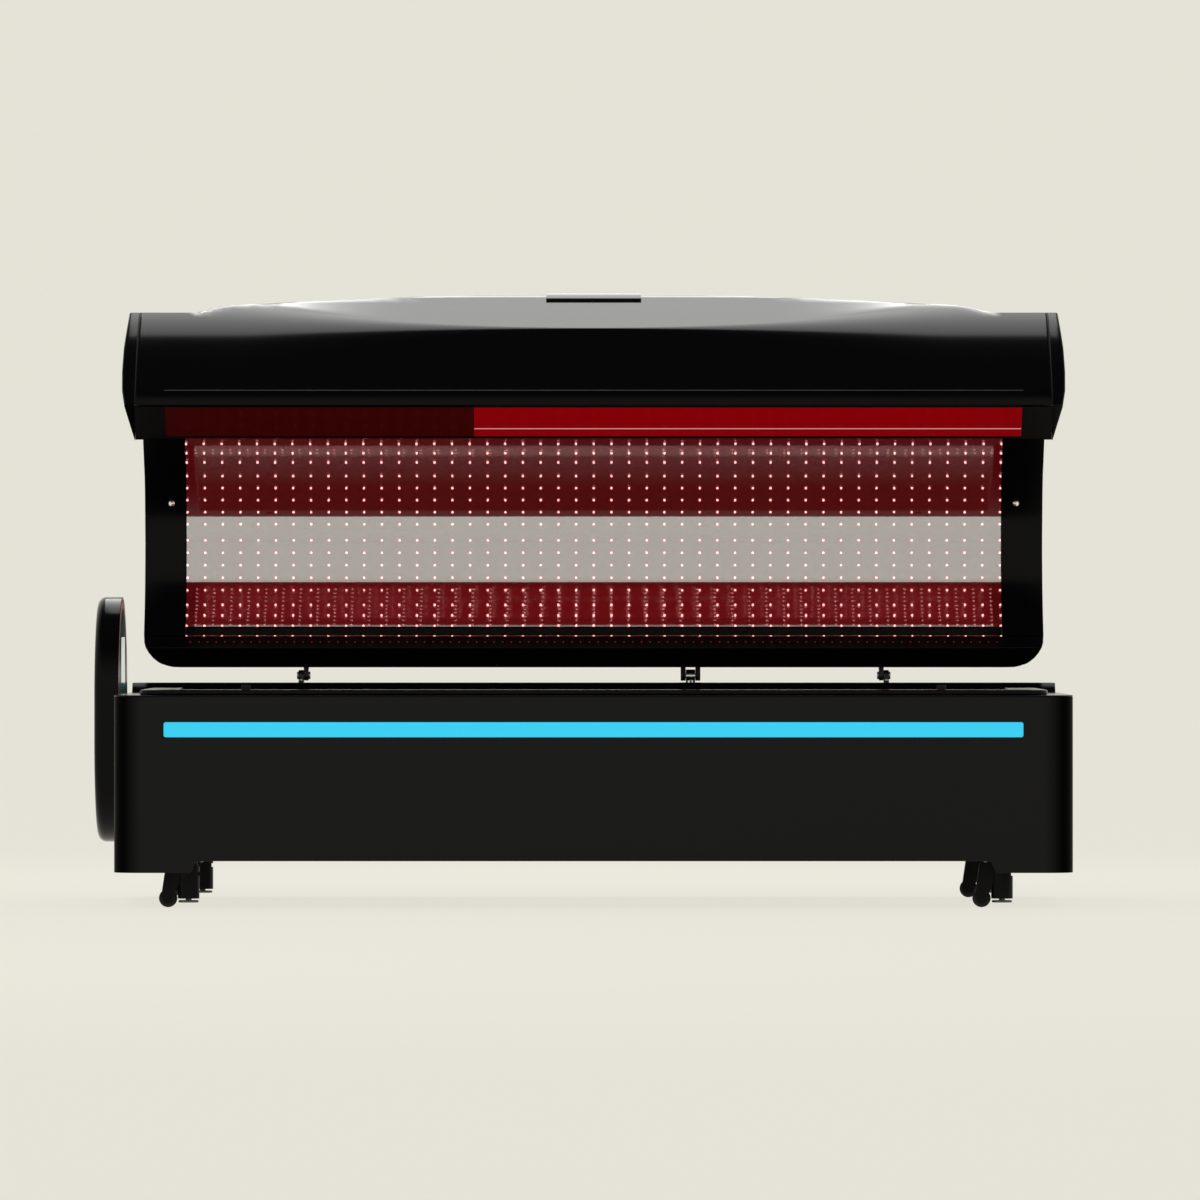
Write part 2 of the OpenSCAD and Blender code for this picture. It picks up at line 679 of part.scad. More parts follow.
// Half of the console's cross-section, with its outer edge rounded
function half_con(r, t, e) = concat([[r, 0]],
    [for (i = [0:8]) [r - e + e * cos(i * 11.25), t - e + e * sin(i * 11.25)]]);
module con_form(r, t, e, x) {
    half = half_con(r, t, e);
    at_console(x) {
        for (s = [0, 1]) mirror([0, s, 0]) translate([0, con_straight / 2, 0])
            rotate_extrude(angle = 180, $fn = 192) polygon(concat([[0, 0]], half, [[0, t]]));
        rotate([90, 0, 0]) linear_extrude(con_straight, center = true)
            polygon(concat(half, [for (i = [len(half) - 1:-1:0]) [-half[i].x, half[i].y]]));
    }
}
con_wall = 6;
module console_shell() {
    color("#0b0b0c") difference() {
        con_form(con_dep / 2, con_t, con_edge, seat);
        con_form(con_dep / 2 - con_wall, con_t - con_wall + 1, con_edge - con_wall, seat - 1);
    }
}
module console_rim() {
    color("#7a0a10") difference() {
        oval(con_dep / 2 - con_wall - 0.2, 6, seat);
        oval(con_dep / 2 - con_rim, 30, -8);
    }
}
module console_glass() {
    color("#04262c") oval(con_dep / 2 - con_rim - 0.2, 6, seat);
}
module console_screws() {
    color("#9a9da1") for (y = [-120, 120], z = [con_z + 108, con_z + 278])
        rod_x(7, 5, [-end_in + 2.5, con_y + y, z]);
}

// Casters: a wheel on one side of the swivel axis and a levelling foot on the other
foot_r = 23;
house_r = 25;
hub_r = 4;
axle_z = wheel_d / 2;
function caster_at(n) = [(n == 0 || n == 2 ? -1 : 1) * caster_x, (n < 2 ? -1 : 1) * caster_y, 0];
module at_caster(n) { translate(caster_at(n)) rotate(180) children(); }
module caster_plates() {
    color("#232325") for (n = [0:3]) translate(caster_at(n)) {
        translate([0, 0, fork_top + plate_t / 2]) cube([84, 70, plate_t], center = true);
        translate([0, 0, fork_top - 20]) cylinder(r = 6, h = 21);
        translate([0, 0, fork_top - 2]) cylinder(r = 22, h = 3);
    }
}
fork_z = fork_top - 2.4;
module caster_fork(n) {
    color("#19191b") at_caster(n) difference() {
        union() {
            translate([0, 0, fork_z - 20]) cylinder(r = 25, h = 20);
            for (s = [-1, 1]) translate([trail, s * (wheel_w / 2 + 3), 0]) rotate([90, 0, 0])
                linear_extrude(5, center = true)
                polygon(rounded([[-34, fork_z - 32], [-34, fork_z - 1], [4, fork_z - 1],
                    [15, axle_z + 8], [8, axle_z - 10], [-8, axle_z - 10]], [2, 2, 8, 6, 8, 6]));
            translate([trail, 0, axle_z]) rotate([90, 0, 0])
                cylinder(r = hub_r, h = wheel_w + 11, center = true, $fn = 32);
            translate([-4, 0, foot_up + 9]) cylinder(r = house_r, h = fork_z - foot_up - 19);
        }
        translate([0, 0, fork_z - 18]) cylinder(r = 6 + run_gap, h = 20);
        translate([-4, 0, 0]) cylinder(r = 7 + run_gap, h = fork_z - 20);
        translate([-8, 0, fork_z - 28]) cube([48, 28, 9], center = true);
        translate([trail, 0, axle_z]) rotate([90, 0, 0]) difference() {
            cylinder(r = wheel_d / 2 + 1.5, h = wheel_w + 0.8, center = true);
            cylinder(r = hub_r, h = wheel_w + 2, center = true, $fn = 32);
        }
    }
}
module caster_wheel(n) {
    color("#0f0f10") at_caster(n) translate([trail, 0, axle_z]) rotate([90, 0, 0]) difference() {
        rotate_extrude() polygon(rounded([[hub_r + run_gap, -wheel_w / 2],
            [wheel_d / 2 - 5, -wheel_w / 2], [wheel_d / 2, -wheel_w / 2 + 3],
            [wheel_d / 2, wheel_w / 2 - 3], [wheel_d / 2 - 5, wheel_w / 2],
            [hub_r + run_gap, wheel_w / 2]], [0, 2, 4, 4, 2, 0]));
    }
}
module caster_foot(n) {
    color("#3a3a3c") at_caster(n) translate([-4, 0, 0]) {
        translate([0, 0, foot_up]) cylinder(r = foot_r, h = 5);
        translate([0, 0, foot_up + 5]) cylinder(r = 7, h = fork_z - 20.5 - foot_up - 5);
    }
}
module caster_fork_fl() { caster_fork(0); }
module caster_fork_fr() { caster_fork(1); }
module caster_fork_rl() { caster_fork(2); }
module caster_fork_rr() { caster_fork(3); }
module caster_wheel_fl() { caster_wheel(0); }
module caster_wheel_fr() { caster_wheel(1); }
module caster_wheel_rl() { caster_wheel(2); }
module caster_wheel_rr() { caster_wheel(3); }
module caster_foot_fl() { caster_foot(0); }
module caster_foot_fr() { caster_foot(1); }
module caster_foot_rl() { caster_foot(2); }
module caster_foot_rr() { caster_foot(3); }

front_panel();
rear_panel();
left_end_panel();
right_end_panel();
base_frame();
bottom_pan();
deck_plate();
front_rim();
rear_ledge();
light_strip_lens();
bed_sheet();
bed_lamp_boards();
bed_heat_sink();
rim_buffers();
power_supplies();
control_box();
fan_housings();
fan_rotor_left();
fan_rotor_right();
power_inlet();
power_rocker();
hinge_ears();
hinge_pins();
hinge_arms();
actuator_foot();
actuator_tube();
actuator_rod();
actuator_bracket();
canopy_shell();
canopy_cap_left();
canopy_cap_right();
canopy_ribs();
canopy_lip();
canopy_sill();
lip_lens_left();
lip_lens_right();
canopy_sheet();
canopy_end_rings();
canopy_lamp_boards();
ring_studs();
top_handle();
console_shell();
console_rim();
console_glass();
console_screws();
caster_plates();
caster_fork_fl();
caster_fork_fr();
caster_fork_rl();
caster_fork_rr();
caster_wheel_fl();
caster_wheel_fr();
caster_wheel_rl();
caster_wheel_rr();
caster_foot_fl();
caster_foot_fr();
caster_foot_rl();
caster_foot_rr();
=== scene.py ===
import json
import math

import bmesh
import bpy
from mathutils import Matrix, Vector


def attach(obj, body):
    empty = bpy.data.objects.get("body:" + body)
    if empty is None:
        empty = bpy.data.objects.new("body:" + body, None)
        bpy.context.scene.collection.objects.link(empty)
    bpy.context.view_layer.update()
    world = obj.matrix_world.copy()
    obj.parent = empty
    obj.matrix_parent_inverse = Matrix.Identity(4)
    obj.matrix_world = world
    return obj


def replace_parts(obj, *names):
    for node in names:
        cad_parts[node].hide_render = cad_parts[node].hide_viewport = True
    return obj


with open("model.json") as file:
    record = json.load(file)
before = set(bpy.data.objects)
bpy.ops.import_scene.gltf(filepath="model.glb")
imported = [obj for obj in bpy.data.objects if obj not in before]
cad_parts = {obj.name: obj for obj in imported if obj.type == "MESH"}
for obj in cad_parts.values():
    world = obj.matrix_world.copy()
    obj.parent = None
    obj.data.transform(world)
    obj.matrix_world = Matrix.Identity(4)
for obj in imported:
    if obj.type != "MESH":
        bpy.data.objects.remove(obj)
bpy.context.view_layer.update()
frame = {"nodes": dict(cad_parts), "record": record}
nodes = frame["nodes"]
bodyOf = {n: b for b, ns in frame["record"]["behaviour"]["bodies"].items() for n in ns}
print("frame loaded:", len(nodes), "nodes")

# the lid is drawn where it lies when closed, then swung up to its place in the photo
lid = {"hingeY": 0.440, "hingeZ": 0.528, "open": 46.5}
hinge = Matrix.Translation((0, lid["hingeY"], lid["hingeZ"]))
opened = hinge @ Matrix.Rotation(math.radians(-lid["open"]), 4, "X") @ hinge.inverted()


def wearGroup():  # one shared effect: slight unevenness in how glossy a surface is
    g = bpy.data.node_groups.new("surfaceWear", "ShaderNodeTree")
    g.interface.new_socket("Roughness", in_out="INPUT", socket_type="NodeSocketFloat")
    g.interface.new_socket("Amount", in_out="INPUT", socket_type="NodeSocketFloat")
    g.interface.new_socket("Roughness", in_out="OUTPUT", socket_type="NodeSocketFloat")
    a, b = g.nodes.new("NodeGroupInput"), g.nodes.new("NodeGroupOutput")
    place = g.nodes.new("ShaderNodeTexCoord")
    cloud = g.nodes.new("ShaderNodeTexNoise")
    cloud.inputs["Scale"].default_value = 6.0
    cloud.inputs["Detail"].default_value = 3.0
    g.links.new(place.outputs["Object"], cloud.inputs["Vector"])
    half = g.nodes.new("ShaderNodeMath")
    half.operation = "SUBTRACT"
    half.inputs[1].default_value = 0.5
    g.links.new(cloud.outputs["Fac"], half.inputs[0])
    mul = g.nodes.new("ShaderNodeMath")
    mul.operation = "MULTIPLY"
    g.links.new(half.outputs[0], mul.inputs[0])
    g.links.new(a.outputs["Amount"], mul.inputs[1])
    add = g.nodes.new("ShaderNodeMath")
    add.operation = "ADD"
    add.use_clamp = True
    g.links.new(a.outputs["Roughness"], add.inputs[0])
    g.links.new(mul.outputs[0], add.inputs[1])
    g.links.new(add.outputs[0], b.inputs["Roughness"])
    return g


wear = wearGroup()


def finish(name, color, rough=0.4, metal=0.0, spec=0.5, coat=0.0, glow=None, power=0.0, uneven=0.06):
    m = bpy.data.materials.new(name)
    m.use_nodes = True
    t = m.node_tree
    p = t.nodes["Principled BSDF"]
    p.inputs["Base Color"].default_value = (*color, 1)
    p.inputs["Metallic"].default_value = metal
    p.inputs["Specular IOR Level"].default_value = spec
    p.inputs["Coat Weight"].default_value = coat
    p.inputs["Coat Roughness"].default_value = 0.06
    if glow:
        p.inputs["Emission Color"].default_value = (*glow, 1)
        p.inputs["Emission Strength"].default_value = power
    g = t.nodes.new("ShaderNodeGroup")
    g.node_tree = wear
    g.inputs["Roughness"].default_value = rough
    g.inputs["Amount"].default_value = uneven
    t.links.new(g.outputs["Roughness"], p.inputs["Roughness"])
    m.diffuse_color = (*color, 1)
    return m


def lit(name, color, power=1.0, rough=0.25, body=0.15):  # a lens with light behind it
    return finish(name, tuple(c * body for c in color), rough, 0, 0.3, 0.2, color, power, 0.0)


def clearSheet(name, tint, mirror, rough=0.03, grazing=0.0):
    m = bpy.data.materials.new(name)
    m.use_nodes = True
    t = m.node_tree
    t.nodes.remove(t.nodes["Principled BSDF"])
    see, shine, mix = (t.nodes.new("ShaderNodeBsdf" + n) for n in ("Transparent", "Glossy", "Diffuse"))
    t.nodes.remove(mix)
    mix = t.nodes.new("ShaderNodeMixShader")
    see.inputs["Color"].default_value = (*tint, 1)
    shine.inputs["Color"].default_value = (0.84, 1.0, 1.0, 1)
    shine.inputs["Roughness"].default_value = rough
    mix.inputs["Fac"].default_value = mirror
    if grazing:  # shines more when seen along the surface
        edgeOn = t.nodes.new("ShaderNodeFresnel")
        edgeOn.inputs["IOR"].default_value = grazing
        t.links.new(edgeOn.outputs[0], mix.inputs["Fac"])
    t.links.new(see.outputs[0], mix.inputs[1])
    t.links.new(shine.outputs[0], mix.inputs[2])
    t.links.new(mix.outputs[0], t.nodes["Material Output"].inputs["Surface"])
    m.diffuse_color = (*tint, 0.4)
    return m


glossBlack = finish("glossBlack", (0.002, 0.002, 0.0023), 0.16, 0, 0.09, 0.0, uneven=0.03)
hoodBlack = finish("hoodBlack", (0.002, 0.002, 0.0023), 0.13, 0, 0.09, 0.0, uneven=0.02)
satinBlack = finish("satinBlack", (0.003, 0.003, 0.0033), 0.42, 0, 0.10)
panelBlack = finish("panelBlack", (0.0085, 0.0085, 0.009), 0.34, 0, 0.10, 0.0)


def shadeCornersPainted(m, inner, outer, dim):  # painted shade: the panel's colour and shine are darkened where it turns round the corners, standing in for the darker reflection there
    t = m.node_tree
    p = t.nodes["Principled BSDF"]
    place, split, far = (t.nodes.new("ShaderNode" + n) for n in ("TexCoord", "SeparateXYZ", "Math"))
    far.operation = "ABSOLUTE"
    t.links.new(place.outputs["Object"], split.inputs[0])
    t.links.new(split.outputs["X"], far.inputs[0])
    for socket, full in (("Base Color", tuple(p.inputs["Base Color"].default_value)[:3]),
                         ("Specular IOR Level", p.inputs["Specular IOR Level"].default_value)):
        fall = t.nodes.new("ShaderNodeMapRange")
        t.links.new(far.outputs[0], fall.inputs["Value"])
        for k, v in (("From Min", inner), ("From Max", outer), ("To Min", 1.0), ("To Max", dim)):
            fall.inputs[k].default_value = v
        if socket == "Base Color":
            mix = t.nodes.new("ShaderNodeMix")
            mix.data_type = "RGBA"
            mix.inputs["A"].default_value = (0, 0, 0, 1)
            mix.inputs["B"].default_value = (*full, 1)
            t.links.new(fall.outputs[0], mix.inputs["Factor"])
            t.links.new(mix.outputs["Result"], p.inputs[socket])
        else:
            fall.inputs["To Min"].default_value = full
            fall.inputs["To Max"].default_value = full * dim
            t.links.new(fall.outputs[0], p.inputs[socket])


# painted shade on the front panel's rounded corners
shadeCornersPainted(panelBlack, 1.035, 1.075, 0.1)
rubberBlack = finish("rubberBlack", (0.008, 0.008, 0.008), 0.7, 0, 0.3)
hingePaint = finish("hingePaint", (0.012, 0.012, 0.013), 0.45, 0, 0.4)
polished = finish("polished", (0.78, 0.79, 0.80), 0.12, 1.0)
brushed = finish("brushed", (0.42, 0.43, 0.44), 0.32, 1.0)
darkSteel = finish("darkSteel", (0.10, 0.10, 0.105), 0.38, 1.0)
alloy = finish("alloy", (0.42, 0.43, 0.44), 0.5, 0.9)
frameGrey = finish("frameGrey", (0.05, 0.052, 0.055), 0.5, 0.3)
# painted glow: the lamp boards in the hood and the bed glow red as if lit by their lamps, though they are no lamps;
# the same glow is used on the foil and the sill holes
boardPaintedGlow = finish("boardPaintedGlow", (0.10, 0.004, 0.006), 0.5, 0, 0.2, 0, (0.30, 0.008, 0.012), 0.42)
bedPaintedGlow = finish("bedPaintedGlow", (0.08, 0.003, 0.005), 0.5, 0, 0.2, 0, (0.30, 0.008, 0.012), 0.40)
lampGlow = lit("lampGlow", (1.0, 0.45, 0.45), 4.5)
lampDim = lit("lampDim", (1.0, 0.40, 0.40), 4.0)
cyanLens = lit("cyanLens", (0.027, 0.637, 0.913), 0.93, 0.3, 0.05)
redLens = lit("redLens", (0.225, 0.0, 0.0015), 0.85, 0.2, 0.2)
dimLens = lit("dimLens", (0.031, 0.0, 0.0), 0.8, 0.3, 0.2)
redRim = lit("redRim", (0.13, 0.0, 0.002), 0.8, 0.3, 0.2)
# painted highlight: a glowing pale line standing in for the shine on the lip's edge
paintedEdgeHighlight = lit("paintedEdgeHighlight", (0.62, 0.36, 0.36), 0.7, 0.3, 0.4)
tealGlass = finish("tealGlass", (0.0, 0.006, 0.008), 0.32, 0, 0.06, 0.0, (0.0, 0.03, 0.036), 0.35, 0.0)
tunnelSheet = clearSheet("tunnelSheet", (0.98, 0.90, 0.90), 0.34)
bedSheet = clearSheet("bedSheet", (0.92, 0.84, 0.84), 0.02, 0.03, 1.9)
brass = finish("brass", (0.62, 0.44, 0.16), 0.3, 1.0)
print("finishes made")


def newPiece(bm, name, mat, body, smooth=30):  # finished mesh -> object that rides a body
    me = bpy.data.meshes.new(name)
    bm.to_mesh(me)
    bm.free()
    me.materials.append(mat)
    me.shade_smooth()
    me.set_sharp_from_angle(angle=math.radians(smooth))
    o = bpy.data.objects.new(name, me)
    bpy.context.scene.collection.objects.link(o)
    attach(o, body)
    return o


def soften(o, width, segs=3, angle=30):
    b = o.modifiers.new("soften", "BEVEL")
    b.width = width
    b.segments = segs
    b.limit_method = "ANGLE"
    b.angle_limit = math.radians(angle)
    b.harden_normals = True


def dress(name, mat, width=0.0015, segs=3, angle=35):  # a CAD node with its hard edges softened
    bm = bmesh.new()
    bm.from_mesh(nodes[name].data)
    bmesh.ops.remove_doubles(bm, verts=bm.verts, dist=2e-5)
    bmesh.ops.dissolve_limit(bm, angle_limit=math.radians(0.6), verts=bm.verts, edges=bm.edges)
    o = newPiece(bm, name + "Dressed", mat, bodyOf[name], angle)
    soften(o, width, segs, angle)
    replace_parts(o, name)
    return o


dressing = {  # node: (finish, edge width in metres)
    "front_panel": (panelBlack, 0.0012), "rear_panel": (glossBlack, 0.0012),
    "left_end_panel": (glossBlack, 0.001), "right_end_panel": (glossBlack, 0.001),
    "deck_plate": (glossBlack, 0.001), "front_rim": (glossBlack, 0.004),
    "rear_ledge": (glossBlack, 0.003), "light_strip_lens": (cyanLens, 0.0008),
    "bottom_pan": (darkSteel, 0.0006), "rim_buffers": (rubberBlack, 0.002),
    "fan_housings": (satinBlack, 0.001), "fan_rotor_left": (satinBlack, 0.0004),
    "fan_rotor_right": (satinBlack, 0.0004), "power_inlet": (satinBlack, 0.0006),
    "power_rocker": (satinBlack, 0.0006), "hinge_ears": (hingePaint, 0.001),
    "hinge_pins": (brushed, 0.0008), "hinge_arms": (hingePaint, 0.001),
    "actuator_foot": (hingePaint, 0.001), "actuator_tube": (satinBlack, 0.001),
    "actuator_rod": (polished, 0.0008), "actuator_bracket": (hingePaint, 0.001),
    "canopy_sill": (glossBlack, 0.003),
    "canopy_end_rings": (glossBlack, 0.001), "ring_studs": (polished, 0.0006),
    "top_handle": (hoodBlack, 0.002), "console_shell": (hoodBlack, 0.0015),
    "console_rim": (redRim, 0.0006), "console_glass": (tealGlass, 0.0006),
    "caster_plates": (hingePaint, 0.0008),
}
for k in ("fl", "fr", "rl", "rr"):
    dressing["caster_fork_" + k] = (satinBlack, 0.0008)
    dressing["caster_wheel_" + k] = (rubberBlack, 0.001)
    dressing["caster_foot_" + k] = (darkSteel, 0.0006)
for n, (mat, width) in dressing.items():
    dress(n, mat, width, 3 if width > 0.001 else 2)
plain = {
    "base_frame": frameGrey, "bed_heat_sink": alloy, "bed_lamp_boards": bedPaintedGlow,
    "power_supplies": alloy, "control_box": alloy, "console_screws": brushed,
    "canopy_lip": satinBlack, "canopy_lamp_boards": boardPaintedGlow, "canopy_sheet": tunnelSheet,
    "bed_sheet": bedSheet, "lip_lens_left": dimLens, "lip_lens_right": redLens,
}
for n, mat in plain.items():
    nodes[n].data.materials.clear()
    nodes[n].data.materials.append(mat)
print("parts dressed:", len(dressing), "plain:", len(plain))

# hood: the front rises to a long curved brow, with a shallow facet above it
hood = {
    "half": 1.068, "wall": 0.004, "crown": 1.430, "drop": 0.028, "shoulder": 0.850, "step": 0.026,
    "knee": (0.006, 1.343), "brow": (0.222, 1.421), "sharp": 0.020, "round": 0.72, "browEnd": 0.820,
    "foot": 0.080, "footX": 0.990, "footZ": 0.6275,
}


def crownAt(x):
    a = abs(x)
    if a < hood["shoulder"]:
        return hood["crown"] - hood["drop"] * (a / hood["shoulder"]) ** 2
    s = min((a - hood["shoulder"]) / 0.130, 1)
    return hood["crown"] - hood["drop"] - hood["step"] * 0.5 * (1 - math.cos(math.pi * s))


def arc(prev, at, nxt, r, n=6):  # points of a rounded corner
    p, a, q = Vector(prev), Vector(at), Vector(nxt)
    u, w = (p - a).normalized(), (q - a).normalized()
    half = u.angle(w) / 2
    mid = a + (u + w).normalized() * r / math.sin(half)
    s, e = a + u * r / math.tan(half) - mid, a + w * r / math.tan(half) - mid
    return [mid + (s * (1 - i / n) + e * (i / n)).normalized() * r for i in range(n + 1)]


def hoodSection(x):
    k, b = Vector(hood["knee"]), Vector(hood["brow"])
    top = crownAt(x)
    at = min((abs(x) / hood["browEnd"]) ** 2, 1) * 0.93  # where the brow lies on the way up

    low = hood["footZ"] - math.sqrt(max(hood["foot"] ** 2 - max(abs(x) - hood["footX"], 0) ** 2, 0))

    def skin(u):
        p = k.lerp(b, u)
        return Vector((p.x, min(p.y, top)))
    r = hood["sharp"] + hood["round"] * at  # the knee grows rounder towards the ends
    turn = (k - Vector((-0.1829, 1.1610))).angle(b - k) / 2
    start = r * math.tan(turn) / (b - k).length
    at = max(at, start + 0.02)
    front = [Vector((-0.1829, 1.1610)), Vector((-0.1829, 1.1610)).lerp(k, 0.5)]
    front[1] = front[0].lerp(k, 0.2)
    pts = front + arc(front[0], k, b, r, 10)[:-1]
    pts += [skin(start + (at - start) * i / 4) for i in range(5)]
    brow = skin(at)
    pts += [brow.lerp(Vector((b.x, min(b.y, top))), i / 4) for i in range(1, 5)]
    rear = [(0.274, 1.440), (0.4523, 1.3227), (0.6669, 1.0879), (0.7446, 0.8171), (0.6641, 0.658),
            (0.5477, 0.5475), (0.3995, 0.5475)]
    for i, r in ((0, 0.110), (1, 0.160), (2, 0.190), (3, 0.090), (4, 0.060), (5, 0.020)):
        for p in arc(b if i == 0 else rear[i - 1], rear[i], rear[i + 1], r):
            pts.append(Vector((p.x, min(p.y, top))))
    pts.append(Vector(rear[-1]))
    return [Vector((p.x, max(p.y, low))) for p in pts]


bm = bmesh.new()
stations = sorted({round(s * x, 4) for s in (-1, 1) for x in
                   [hood["shoulder"] * i / 17 for i in range(18)]
                   + [hood["shoulder"] + 0.0217 * i for i in range(1, 7)]
                   + [1.0, 1.015, 1.03, 1.042, 1.052, 1.06, hood["half"]]})
row = [bm.verts.new((stations[0], p.x, p.y)) for p in hoodSection(stations[0])]
line = [bm.edges.new(pair) for pair in zip(row, row[1:])]
for x in stations[1:]:
    out = bmesh.ops.extrude_edge_only(bm, edges=line)["geom"]
    line = [e for e in out if isinstance(e, bmesh.types.BMEdge)]
    fresh = [v for v in out if isinstance(v, bmesh.types.BMVert)]
    follow = {}
    for v in fresh:
        old = [e.other_vert(v) for e in v.link_edges if e.other_vert(v) in row][0]
        follow[old] = v
    row = [follow[v] for v in row]
    for v, p in zip(row, hoodSection(x)):
        v.co = (x, p.x, p.y)
bmesh.ops.recalc_face_normals(bm, faces=bm.faces)
hoodShell = newPiece(bm, "hoodShell", hoodBlack, "canopy", 24)
wall = hoodShell.modifiers.new("wall", "SOLIDIFY")
wall.thickness = hood["wall"]
wall.offset = -1
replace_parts(hoodShell, "canopy_shell")
print("hood made:", len(stations), "sections")

# ribs: trimmed to stay under the hood's rounded knee
ribs = {"under": 0.007, "frontTo": 0.24, "above": 1.17}
bm = bmesh.new()
bm.from_mesh(nodes["canopy_ribs"].data)
for v in bm.verts:
    if v.co.y < ribs["frontTo"] and v.co.z > ribs["above"]:
        for a, b in zip(hoodSection(v.co.x), hoodSection(v.co.x)[1:]):
            if a.x <= v.co.y <= b.x and b.x > a.x:
                v.co.z = min(v.co.z, a.y + (b.y - a.y) * (v.co.y - a.x) / (b.x - a.x) - ribs["under"])
                break
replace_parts(newPiece(bm, "ribsTrimmed", alloy, "canopy", 30), "canopy_ribs")

# end caps: they carry the hood's section outwards, thick at the front and thin behind, drawn in at the lip
caps = {
    "inner": 1.0685, "bore": 0.334, "centreZ": 0.516, "edge": 0.006, "thin": 0.06, "thickTo": -0.25, "thinFrom": -0.05,
    "reach": ((1.083, 1.0695), (1.161, 1.0906), (1.210, 1.1000), (1.300, 1.0985), (1.376, 1.0920)),
}
bore = opened @ Vector((0, 0, caps["centreZ"]))
closing = opened.inverted()


def capReach(p):  # how far out the cap goes at a point of its section
    y = (closing @ Vector((0, p.x, p.y))).y
    share = min(max((caps["thinFrom"] - y) / (caps["thinFrom"] - caps["thickTo"]), 0), 1)
    share = caps["thin"] + (1 - caps["thin"]) * share * share * (3 - 2 * share)
    table = caps["reach"]
    z = min(max(p.y, table[0][0]), table[-1][0])
    for (z0, x0), (z1, x1) in zip(table, table[1:]):
        if z <= z1:
            return (x0 + (x1 - x0) * (z - z0) / (z1 - z0) - caps["inner"]) * share + caps["inner"]


def capPiece(name, side, node):
    bm = bmesh.new()
    outline = hoodSection(caps["inner"])
    middle = Vector((bore.y, bore.z))
    hole = [middle + (p - middle).normalized() * caps["bore"] for p in outline]
    rings = [[(caps["inner"], p) for p in outline]]
    for step in range(5):
        a = math.radians(22.5 * step)
        ring = []
        for p, q in zip(outline, hole):
            far = capReach(p)
            e = min(caps["edge"], 0.45 * (far - caps["inner"]), 0.3 * (p - q).length)
            ring.append((far - e * (1 - math.sin(a)), p + (q - p).normalized() * e * (1 - math.cos(a))))
        rings.append(ring)
    rings.append([(capReach(q), q) for q in hole])
    rings.append([(caps["inner"], q) for q in hole])
    made = [[bm.verts.new((side * x, p.x, p.y)) for x, p in ring] for ring in rings]
    for a, b in zip(made, made[1:] + made[:1]):
        for i in range(len(a) - 1):
            bm.faces.new((a[i], a[i + 1], b[i + 1], b[i]))
    bm.faces.new([ring[0] for ring in made])
    bm.faces.new([ring[-1] for ring in made])
    bmesh.ops.remove_doubles(bm, verts=bm.verts, dist=1e-5)
    bmesh.ops.recalc_face_normals(bm, faces=bm.faces)
    o = newPiece(bm, name, hoodBlack, "canopy", 30)
    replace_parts(o, node)
    return o


capPiece("capLeft", -1, "canopy_cap_left")
capPiece("capRight", 1, "canopy_cap_right")
print("caps made")

# lamps behind the clear sheets
lamps = {"columns": 47, "pitch": 0.0421, "shift": 0.0, "rows": 5, "rowPitch": 0.030, "boards": 7,
         "radius": 0.349, "centreZ": 0.516, "size": 0.0029, "tall": 0.004}
bm = bmesh.new()
for i in range(lamps["boards"]):
    tilt = Matrix.Rotation(math.radians(-(i - 3) * 180 / lamps["boards"]), 4, "X")
    board = opened @ Matrix.Translation((0, 0, lamps["centreZ"])) @ tilt
    for r in range(lamps["rows"]):
        for c in range(lamps["columns"]):
            at = Vector(((c - 23) * lamps["pitch"] + lamps["shift"], (r - 2) * lamps["rowPitch"],
                         lamps["radius"] - lamps["tall"] / 2))
            bmesh.ops.create_cone(bm, cap_ends=True, segments=8, radius1=lamps["size"] * 0.7,
                                  radius2=lamps["size"], depth=lamps["tall"],
                                  matrix=board @ Matrix.Translation(at))
canopyLamps = newPiece(bm, "canopyLamps", lampGlow, "canopy", 60)

# red foil behind the boards, glowing with painted lamp light, and a dark trim over the lining's lower end
foil = {"radius": 0.3589, "half": 0.970, "from": -90.0, "to": 83.0}
trim = {"radius": 0.3356, "half": 0.9698, "from": 78.9, "to": 83.4}


def arcSheet(name, form, mat, steps):
    b = bmesh.new()
    at = [math.radians(form["from"] + (form["to"] - form["from"]) * i / steps) for i in range(steps + 1)]
    row = [b.verts.new(opened @ Vector((-form["half"], form["radius"] * math.sin(a),
                                        lamps["centreZ"] + form["radius"] * math.cos(a)))) for a in at]
    out = bmesh.ops.extrude_edge_only(b, edges=[b.edges.new(pair) for pair in zip(row, row[1:])])["geom"]
    bmesh.ops.translate(b, vec=(2 * form["half"], 0, 0), verts=[v for v in out if isinstance(v, bmesh.types.BMVert)])
    return newPiece(b, name, mat, "canopy", 30)


arcSheet("lampFoil", foil, boardPaintedGlow, 60)
arcSheet("liningTrim", trim, glossBlack, 6)

bedLamps = {"rows": 21, "rowPitch": 0.0305, "radius": 0.7839, "low": 0.412, "under": 0.013}
bm = bmesh.new()
for r in range(bedLamps["rows"]):
    y = (r - 10) * bedLamps["rowPitch"]
    reach = bedLamps["radius"] + bedLamps["under"]
    lean = math.asin(y / reach)
    board = Matrix.Translation((0, 0, bedLamps["low"] + bedLamps["radius"])) @ Matrix.Rotation(lean, 4, "X")
    for c in range(lamps["columns"]):
        at = Vector(((c - 23) * lamps["pitch"], 0, -reach + lamps["tall"] / 2))
        bmesh.ops.create_cone(bm, cap_ends=True, segments=8, radius1=lamps["size"],
                              radius2=lamps["size"] * 0.7, depth=lamps["tall"],
                              matrix=board @ Matrix.Translation(at))
newPiece(bm, "bedLampDots", lampDim, "base", 60)
print("lamps made")

# a fine bead along the hood's lower front edge, and a bright one along the lip's inner edge: the lip's bead glows, a
# painted highlight standing in for the shine on that edge
bead = {"half": 0.995, "radius": 0.0011}


